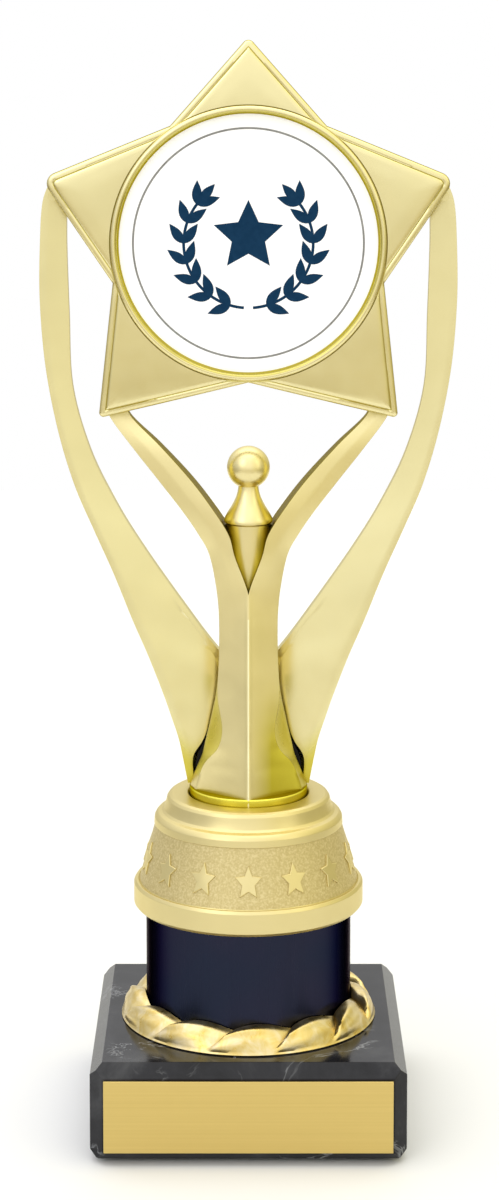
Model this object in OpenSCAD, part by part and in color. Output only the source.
// Star trophy: a marble block, a short column, a riser and a star figure, clamped on one rod.
// Millimetres. The origin is the centre of the underside, +Z is up and the front faces -Y.

/* [Base] */
// Side of the square marble block
base_w = 60; // [56:1:70]
// Height of the marble block
base_h = 18.6; // [17:0.2:24]
// Chamfer on the block's top edges and upright corners
base_chamfer = 2.4; // [1:0.2:3]
// Thickness of the felt pad under the block
pad_t = 0.8; // [0.5:0.1:2]
// Thickness of the engraving plate
plate_t = 0.5; // [0.3:0.1:1]

/* [Column] */
// Outer diameter of the tube
tube_d = 40; // [38:1:44]
// Wall of the tube
tube_wall = 1.6; // [1:0.2:2.4]
// Height of the column from the block to the rim of the riser
column_h = 22.4; // [18:0.4:60]
// Number of leaves in the wreath
leaf_count = 12; // [8:1:16]

/* [Riser] */
// Number of raised stars on the frosted cone
riser_stars = 14; // [8:1:16]
// Tip radius of one raised star
riser_star_r = 3; // [2:0.1:3.4]

/* [Figure] */
// Diameter of the ball head
head_d = 8.3; // [7:0.1:9]
// Wall of the wings
wing_wall = 1.2; // [0.9:0.1:1.2]

/* [Star] */
// Diameter of the disc that the star holds
disc_d = 50; // [46:0.5:50]
// How far the star covers the edge of the disc
disc_lip = 0.4; // [0.3:0.1:0.8]
// Thickness of the star's front
star_t = 3.5; // [3.2:0.1:5]

/* [Hidden] */
$fn = 96;

// Heights of the stack
base_top = pad_t + base_h;
web_t = 1.2;
rim_z = base_top + column_h;
socket_depth = 6;
riser_h = 22.2;
recess_depth = 2;
riser_top = rim_z + riser_h;
figure_z = riser_top - recess_depth;

// Base
base_edge = 1.6;
face_half = base_w / 2 - base_chamfer;
tape_t = 0.15;
pad_margin = 4;
well_r = 11;
well_depth = 9;

// Rod and its fixings: M5
rod_r = 2.5;
rod_hole_r = 2.75;
nut_af = 8;
nut_h = 4.7;
washer_r = 7.5;
washer_t = 1.2;
rod_z = pad_t + 1.2;

// Column and wreath
film_t = 0.15;
tube_r = tube_d / 2;
film_r = tube_r + film_t;
tube_z = base_top + web_t;
tube_top = rim_z + socket_depth;
plug_t = 3;
wreath_bore = film_r + 0.15;
wreath_r = wreath_bore + 5;
wreath_h = 4.9;
leaf_low = 2.8;

// Riser: radii from the rim inwards, heights from the rim's lower edge
rim_r = film_r + 2.35;
rim_h = 5;
cone_h = 16.1;
cone_low_r = rim_r - 1;
cone_top_r = rim_r - 4.2;
drum_r = rim_r - 6.6;
foot_r = 11.6;
riser_star_z = 9.9;
riser_star_scale = [0.9, 1.12];

// Figure: heights from the sole of the foot
foot_h = 3.4;
split_y = 0.8;
core_r = 7;
core_h = 14.9;
neck_hole_r = 4.4;
arm_z = 38;
peg_z = 39.5;
collar_z = 55.6;
head_z = 66.4;

// Star: heights from the centre of the disc
star_z = 110.2;
star_y = -0.5;
pocket_depth = 2.5;
disc_t = 1;
bead_r = 0.8;
pin_r = 0.9;
pin_len = 1.6;
arm_pin = [25.4, -28.5];
wing_pin = [37.6, 8.8];

// Skirt and torso, half a section per row:
// height, ridge y, first point x y, crease x y, side x
TORSO = [
    [foot_h, -11.5, 5.4, -7.7, 10.4, -3.8, 11.4],
    [7.0, -11.1, 4.8, -7.9, 9.4, -4.7, 10.1],
    [9.4, -10.8, 4.2, -8.2, 8.3, -5.5, 9.1],
    [12.6, -10.3, 3.0, -8.65, 5.9, -7.1, 8.3],
    [16.4, -9.8, 2.6, -8.35, 5.1, -7.0, 7.4],
    [22.5, -9.0, 3.0, -7.35, 6.0, -5.8, 6.2],
    [30.0, -8.1, 2.9, -6.6, 5.7, -5.2, 5.75],
    [arm_z, -7.2, 2.9, -5.9, 5.7, -4.7, 5.75]];

// One arm, a section per row:
// outer edge x z, inner edge x z, front y at the outer and the inner edge, back y
ARM = [
    [5.75, arm_z, 0, arm_z, -4.7, -7.2, 5.0],
    [6.3, 44, 0, 42.6, -4.3, -6.7, 5.0],
    [7.6, 50, 2.6, 49.8, -3.9, -6.1, 5.0],
    [9.6, 53.7, 3.8, 54, -3.5, -5.6, 5.0],
    [12.6, 58, 6.6, 58.4, -2.8, -4.6, 4.9],
    [17.2, 63.8, 11, 64.1, -1.7, -3.1, 4.8],
    [22.3, 70.1, 17, 70.6, -0.5, -1.4, 4.6],
    [26.9, 76.2, 22.9, 76.4, split_y, split_y, 4.4],
    [27.8, 80, 23.5, 80, split_y, split_y, 4.2],
    [27.6, 85, 23, 85, split_y, split_y, 3.8]];

// One wing, a section per row: outer edge x z, inner edge x z, depth of the back behind the rim,
// x of the lip where the flat face ends and depth of the pocket inside the lip
WING = [
    [11.9, foot_h, 0, foot_h, 11.6, 10.6, 8.8],
    [12.9, 8.6, 0, 7.4, 11.2, 10.9, 8.2],
    [13.75, 12.5, 0, 10, 10.6, 9.05, 7.3],
    [15.1, 16.6, 0, 13.4, 8.9, 7.65, 5.4],
    [16.6, 21, 0, 17, 6.6, 6.7, 1.8],
    [19.5, 28.6, 0, 23.4, 6, 5.8, 0.6],
    [22.7, 36.1, 6, 29.7, 5.4, 8, 0],
    [26.3, 45.2, 13.2, 39.6, 5, 15, 0],
    [30.3, 54.3, 20.5, 50.3, 5, 22, 0],
    [33.9, 62.9, 25.7, 58.9, 5.2, 27.2, 0],
    [37, 73.6, 30.7, 69.4, 5.4, 32.2, 0],
    [39.3, 86, 34.1, 82, 5.4, 35.6, 0],
    [40.3, 98.7, 34.7, 96, 5.6, 36.2, 0],
    [40.2, 109.6, 35.1, 109.5, 6.4, 36.6, 0],
    [39.6, 118, 35.1, 118, 7.2, 36.4, 0],
    [37.8, 122.4, 35.6, 122.4, 7.2, 36.1, 0]];
face_slope = 0.15;
back_fullness = 0.75;

// Corners of half the star, from the top point down, each with its rounding radius
STAR = [
    [0, 39.4, 1.2],
    [15, 22.4, 0],
    [39.6, 12.4, 2],
    [26, -7.6, 0],
    [28.9, -33.9, 0.8],
    [0, -26.8, 0]];

// Point at t of the smooth curve from b to c, with neighbours a and d
function blend(a, b, c, d, t) =
    0.5 * (2 * b + (c - a) * t + (2 * a - 5 * b + 4 * c - d) * t * t + (3 * (b - c) + d - a) * t * t * t);

// Rows of a smooth curve through all rows of p, n steps between two of them
function smooth(p, n) = [
    for (i = [0 : len(p) - 2])
        for (j = [0 : n - 1])
            blend(p[max(i - 1, 0)], p[i], p[i + 1], p[min(i + 2, len(p) - 1)], j / n),
    p[len(p) - 1]];

// Arc of radius r that replaces the corner b between a and c
function corner(a, b, c, r) = let (
    u = (a - b) / norm(a - b),
    v = (c - b) / norm(c - b),
    half = acos(u * v) / 2,
    centre = b + (u + v) / norm(u + v) * r / sin(half),
    from = b + u * r / tan(half) - centre,
    to = b + v * r / tan(half) - centre)
    [for (k = [0 : 5]) centre + r * unit(from * (1 - k / 5) + to * k / 5)];

function unit(v) = v / norm(v);

// Outline of the star, corners rounded
function star_outline() = let (
    left = [for (i = [len(STAR) - 2 : -1 : 1]) [-STAR[i][0], STAR[i][1], STAR[i][2]]],
    all = concat(STAR, left),
    n = len(all),
    flat = [for (p = all) [p[0], p[1]]])
    [for (i = [0 : n - 1]) each all[i][2] > 0
        ? corner(flat[(i + n - 1) % n], flat[i], flat[(i + 1) % n], all[i][2])
        : [flat[i]]];

// Five-pointed star with tips at radius r
function small_star(r) = [
    for (i = [0 : 9]) let (q = i % 2 == 0 ? r : r * 0.48) q * [cos(90 + 36 * i), sin(90 + 36 * i)]];

// Solid through a list of rings, all listed the same way round
module loft(rings) {
    n = len(rings[0]);
    last = len(rings) - 1;
    walls = [
        for (r = [0 : last - 1])
            for (i = [0 : n - 1])
                each [
                    [r * n + i, (r + 1) * n + i, r * n + (i + 1) % n],
                    [(r + 1) * n + i, (r + 1) * n + (i + 1) % n, r * n + (i + 1) % n]]];
    floor_face = [for (i = [0 : n - 1]) i];
    roof_face = [for (i = [n - 1 : -1 : 0]) last * n + i];
    polyhedron([for (ring = rings) each ring], concat([floor_face, roof_face], walls));
}

// Plate of the given outline that stands upright, its back at y and its front towards -Y
module upright(y, t) {
    translate([0, y, 0])
        rotate([90, 0, 0])
            linear_extrude(t)
                children();
}

module rod_hole(z, h) {
    translate([0, 0, z])
        cylinder(r = rod_hole_r, h = h);
}

module hex_nut(z) {
    translate([0, 0, z])
        difference() {
            cylinder(r = nut_af / 2 / cos(30), h = nut_h, $fn = 6);
            translate([0, 0, -1])
                cylinder(r = rod_r, h = nut_h + 2);
        }
}

// Block profile, seen from one side
module block_side() {
    w = base_w / 2;
    rotate([90, 0, 0])
        linear_extrude(base_w, center = true)
            polygon([
                [-w + base_edge, 0], [w - base_edge, 0], [w, base_edge], [w, base_h - base_chamfer],
                [w - base_chamfer, base_h], [-w + base_chamfer, base_h], [-w, base_h - base_chamfer],
                [-w, base_edge]]);
}

module base_pad() {
    w = base_w - 2 * pad_margin;
    color("dimgray")
        difference() {
            translate([-w / 2, -w / 2, 0])
                cube([w, w, pad_t]);
            translate([0, 0, -1])
                cylinder(r = well_r + 1, h = pad_t + 2);
        }
}

module marble_base() {
    w = base_w / 2;
    c = base_chamfer;
    color("#26262a")
        translate([0, 0, pad_t])
            difference() {
                intersection() {
                    linear_extrude(base_h)
                        polygon([
                            [w - c, -w], [w, c - w], [w, w - c], [w - c, w],
                            [c - w, w], [-w, w - c], [-w, c - w], [c - w, -w]]);
                    block_side();
                    rotate([0, 0, 90])
                        block_side();
                }
                rod_hole(-1, base_h + 2);
                translate([0, 0, -1])
                    cylinder(r = well_r, h = well_depth + 1);
            }
}

// Flat face of the block between its chamfers, less a margin
module plate_outline(margin) {
    low = pad_t + base_edge + margin;
    high = base_top - base_chamfer - margin;
    translate([margin - face_half, low])
        square([2 * (face_half - margin), high - low]);
}

module plate_tape() {
    color("white")
        upright(-base_w / 2, tape_t)
            plate_outline(0.9);
}

module engraving_plate() {
    color("#d8bd70")
        upright(-base_w / 2 - tape_t, plate_t)
            plate_outline(0.3);
}

module base_washer() {
    color("silver")
        translate([0, 0, pad_t + well_depth - washer_t])
            difference() {
                cylinder(r = washer_r, h = washer_t);
                rod_hole(-1, washer_t + 2);
            }
}

module base_nut() {
    color("silver")
        hex_nut(pad_t + well_depth - washer_t - nut_h);
}

module tie_rod() {
    color("silver")
        translate([0, 0, rod_z])
            cylinder(r = rod_r, h = figure_z + core_h - 0.4 - rod_z);
}

// Ring section of the leaves at phase f of one leaf, from 0 at its tip to 1 under the next leaf
function leaf_section(f) = let (
    crest = sin(180 * pow(f, 0.8)),
    top = leaf_low + (wreath_h - leaf_low) * crest,
    out = wreath_r - 0.4 + 0.4 * crest)
    [[wreath_bore - 0.5, 0], [out - 0.3, 0], [out, 0.6], [out - 0.6, 0.6 * top],
        [(out + wreath_bore) / 2 + 0.5, top - 0.2], [wreath_bore + 0.8, top - 0.1],
        [wreath_bore - 0.5, 0.8 * top]];

module wreath_ring() {
    steps = 6;
    total = leaf_count * steps;
    section = len(leaf_section(0));
    points = [
        for (i = [0 : total - 1])
            for (p = leaf_section((i % steps) / steps))
                [p[0] * cos(360 * i / total), p[0] * sin(360 * i / total), p[1]]];
    faces = [
        for (i = [0 : total - 1])
            for (j = [0 : section - 1])
                let (a = i * section, b = ((i + 1) % total) * section, k = (j + 1) % section)
                    each [[a + j, a + k, b + j], [a + k, b + k, b + j]]];
    color("#e0b75a")
        translate([0, 0, base_top])
            difference() {
                union() {
                    difference() {
                        polyhedron(points, faces);
                        translate([0, 0, -1])
                            cylinder(r = wreath_bore, h = wreath_h + 2);
                    }
                    cylinder(r = wreath_bore + 0.5, h = web_t);
                }
                rod_hole(-1, web_t + 2);
            }
}

// Plug inside the tube, its flat side at z
module tube_plug(z) {
    difference() {
        translate([0, 0, z])
            cylinder(r = tube_r - tube_wall - 0.1, h = plug_t);
        rod_hole(z - 1, plug_t + 2);
    }
}

module tube_bottom_plug() {
    color("gainsboro")
        tube_plug(tube_z);
}

module tube_top_plug() {
    color("gainsboro")
        tube_plug(tube_top - plug_t);
}

module sleeve(outer, inner, h) {
    difference() {
        cylinder(r = outer, h = h);
        translate([0, 0, -1])
            cylinder(r = inner, h = h + 2);
    }
}

module tube() {
    color("tan")
        translate([0, 0, tube_z])
            sleeve(tube_r, tube_r - tube_wall, tube_top - tube_z);
}

module tube_film() {
    color("#26304e")
        translate([0, 0, tube_z])
            sleeve(film_r, tube_r, tube_top - tube_z);
}

// Outside of the riser as a turned profile
module riser_body() {
    rotate_extrude()
        polygon([
            [0, 0], [rim_r - 0.5, 0], [rim_r, 0.6], [rim_r, rim_h - 0.6], [rim_r - 0.4, rim_h],
            [cone_low_r, rim_h + 0.1], [cone_top_r, cone_h], [cone_top_r + 0.2, cone_h + 0.1],
            [cone_top_r + 0.1, cone_h + 1.4], [cone_top_r - 0.6, cone_h + 2.4],
            [cone_top_r - 1.6, cone_h + 2.8], [drum_r + 0.3, cone_h + 3.9], [drum_r, cone_h + 5],
            [drum_r - 0.9, riser_h], [0, riser_h]]);
}

// Raised stars, each a flat prism square to the cone
module riser_star_prisms() {
    slope = atan((cone_low_r - cone_top_r) / (cone_h - rim_h));
    at_r = cone_low_r - (riser_star_z - rim_h) * tan(slope);
    for (i = [0 : riser_stars - 1])
        rotate([0, 0, 360 / riser_stars * i - 90])
            translate([at_r, 0, riser_star_z])
                rotate([90, 0, 90])
                    rotate([-slope, 0, 0])
                        translate([0, 0, -1])
                            linear_extrude(1.4)
                                scale(riser_star_scale)
                                    polygon(small_star(riser_star_r));
}

module riser() {
    shoulder_r = tube_r - 1;
    roof = riser_h - recess_depth - 2;
    color("#e8d98c")
        translate([0, 0, rim_z])
            difference() {
                union() {
                    riser_body();
                    riser_star_prisms();
                }
                translate([0, 0, -1])
                    cylinder(r = film_r + 0.05, h = socket_depth + 1);
                rotate_extrude()
                    polygon([[0, 0], [shoulder_r, 0], [shoulder_r, socket_depth],
                        [cone_top_r - 2, cone_h - 1], [drum_r - 2, roof], [0, roof]]);
                translate([0, 0, riser_h - recess_depth])
                    cylinder(r = foot_r + 0.3, h = recess_depth + 1);
                rod_hole(0, riser_h);
            }
}

module foot_core() {
    color("#18181a")
        translate([0, 0, figure_z])
            difference() {
                union() {
                    cylinder(r = core_r, h = core_h);
                    intersection() {
                        rotate_extrude()
                            polygon([[0, foot_h], [10.4, foot_h], [10.4, 7.5], [9.8, 9.6],
                                [7.8, 13.6], [core_r - 0.5, core_h], [0, core_h]]);
                        translate([-15, split_y + 0.1, 0])
                            cube([30, 15, 20]);
                    }
                }
                rod_hole(-1, core_h + 2);
                translate([0, 0, core_h - nut_h - 1])
                    cylinder(r = nut_af / 2 / cos(30), h = nut_h, $fn = 6);
            }
}

module figure_nut() {
    color("goldenrod")
        hex_nut(figure_z + core_h - nut_h - 1);
}

// Ring of the front of the torso for one row of TORSO
function torso_ring(s) = [
    [-s[6], -0.5, s[0]], [-s[4], s[5], s[0]], [-s[2], s[3], s[0]], [0, s[1], s[0]],
    [s[2], s[3], s[0]], [s[4], s[5], s[0]], [s[6], -0.5, s[0]],
    [s[6], split_y, s[0]], [-s[6], split_y, s[0]]];

// Ring of the back of the torso for one row of TORSO
function back_ring(s) = [
    [0.6 - s[6], split_y, s[0]], [s[6] - 0.6, split_y, s[0]], [s[6] - 1.6, 2.1, s[0]], [2.4, 2.8, s[0]],
    [-2.4, 2.8, s[0]], [1.6 - s[6], 2.1, s[0]]];

// Ring of the right arm for one row of ARM
function arm_ring(s) = [
    [s[2], s[5], s[3]], [s[0], s[4], s[1]], [s[0], s[6] - 0.6, s[1]], [s[0] - 0.6, s[6], s[1]],
    [s[2] + 0.4, s[6], s[3]], [s[2], s[6] - 0.4, s[3]]];

module arm() {
    loft([for (s = smooth(ARM, 2)) arm_ring(s)]);
}

module pin_holes(at) {
    for (side = [-1, 1])
        translate([side * at[0], split_y - 1, star_z + at[1]])
            rotate([-90, 0, 0])
                cylinder(r = pin_r + 0.1, h = pin_len + 1.2, $fn = 32);
}

module body_front() {
    color("#dccb86")
        translate([0, 0, figure_z])
            difference() {
                union() {
                    cylinder(r = foot_r, h = foot_h);
                    loft([for (s = smooth(TORSO, 2)) torso_ring(s)]);
                    arm();
                    mirror([1, 0, 0])
                        arm();
                }
                translate([0, 0, -1])
                    cylinder(r = core_r + 0.05, h = core_h + 1);
                translate([0, 0, peg_z])
                    cylinder(r = neck_hole_r, h = 20);
                translate([0, 0, collar_z - 0.1])
                    cylinder(r = neck_hole_r + 0.45, h = 6);
                pin_holes(arm_pin);
            }
}

module body_back() {
    rows = [for (s = smooth(TORSO, 2)) if (s[0] > core_h) s];
    color("#d3c07c")
        translate([0, 0, figure_z])
            difference() {
                loft([for (s = concat([[core_h, 0, 0, 0, 0, 0, 7.7]], rows)) back_ring(s)]);
                translate([0, 0, core_h - 1])
                    cylinder(r = rod_hole_r, h = 3);
            }
}

// Point of the wing's section for one row of WING, at x and at a depth behind the rim
function wing_point(s, x, depth) =
    [x, split_y + depth, s[1] + (s[3] - s[1]) * (s[0] - x) / (s[0] - max(0, s[2]))];

// Back of the section, a full arc from the rim to the inner edge
function wing_back(s) = let (
    stop = acos(max(0, s[2]) / s[0]),
    steps = 6)
    [for (i = [0 : steps]) let (t = stop * i / steps)
        wing_point(s, s[0] * cos(t), s[4] * pow(sin(t), back_fullness))];

// Front of the section: the flat face up to the lip, then the pocket that takes the body and the core
function wing_front(s) = let (
    edge = s[0] - wing_wall,
    inner = max(0, s[2]),
    steps = 3)
    concat(
        [wing_point(s, edge, 0)],
        [for (i = [0 : steps]) let (t = 90 * i / steps, x = inner + (s[5] - inner) * cos(t))
            wing_point(s, x, face_slope * (edge - x) + s[6] * pow(sin(t), back_fullness))]);

function wing_ring(s) = let (front = wing_front(s))
    concat(wing_back(s), [for (i = [len(front) - 1 : -1 : 0]) front[i]]);

module wing() {
    difference() {
        loft([for (s = smooth(WING, 2)) wing_ring(s)]);
        pin_holes(wing_pin);
    }
}

module right_wing() {
    color("#eadc98")
        translate([0, 0, figure_z])
            wing();
}

module left_wing() {
    color("#eadc98")
        translate([0, 0, figure_z])
            mirror([1, 0, 0])
                wing();
}

module head() {
    r = head_d / 2;
    low = -sqrt(r * r - 4);
    color("#f0e6a8")
        translate([0, 0, figure_z])
            union() {
                rotate_extrude()
                    polygon([
                        [0, peg_z], [neck_hole_r - 0.05, peg_z], [neck_hole_r - 0.05, collar_z],
                        [neck_hole_r + 0.3, collar_z + 0.2], [neck_hole_r + 0.3, collar_z + 1],
                        [3.8, collar_z + 2.1], [3, collar_z + 3.6], [2.2, collar_z + 5.6],
                        [2, head_z + low], [0, head_z + low]]);
                translate([0, 0, head_z])
                    sphere(r = r);
            }
}

module star_front() {
    bevel = 0.9;
    hole_r = disc_d / 2 - disc_lip;
    color("#ecdf9c")
        translate([0, star_y, figure_z + star_z])
            rotate([90, 0, 0])
                difference() {
                    union() {
                        linear_extrude(star_t - bevel)
                            polygon(star_outline());
                        translate([0, 0, star_t - bevel])
                            linear_extrude(bevel, scale = 0.965)
                                polygon(star_outline());
                        translate([0, 0, star_t - 0.1])
                            rotate_extrude()
                                translate([hole_r + bead_r + 0.2, 0])
                                    circle(r = bead_r);
                    }
                    translate([0, 0, -1])
                        cylinder(r = hole_r, h = star_t + 3);
                    translate([0, 0, -1])
                        cylinder(r = disc_d / 2 + 0.1, h = pocket_depth + 1);
                }
}

// Round sheet in the star's pocket, its front at depth y behind the star's back plane
module pocket_sheet(r, depth, t) {
    translate([0, star_y - depth, figure_z + star_z])
        rotate([90, 0, 0])
            cylinder(r = r, h = t);
}

module centre_disc() {
    color("white")
        pocket_sheet(disc_d / 2, pocket_depth - disc_t, disc_t);
}

module disc_pad() {
    color("lightgray")
        pocket_sheet(disc_d / 2 - 0.4, 0, pocket_depth - disc_t);
}

module star_back() {
    color("#dccb86")
        translate([0, split_y, figure_z + star_z])
            rotate([90, 0, 0])
                union() {
                    linear_extrude(split_y - star_y)
                        scale(0.985)
                            polygon(star_outline());
                    for (at = [arm_pin, wing_pin])
                        for (side = [-1, 1])
                            translate([side * at[0], at[1], -pin_len])
                                cylinder(r = pin_r, h = pin_len + 0.5, $fn = 32);
                }
}

base_pad();
marble_base();
plate_tape();
engraving_plate();
base_washer();
base_nut();
tie_rod();
wreath_ring();
tube_bottom_plug();
tube();
tube_film();
tube_top_plug();
riser();
foot_core();
figure_nut();
body_front();
body_back();
left_wing();
right_wing();
head();
star_front();
centre_disc();
disc_pad();
star_back();
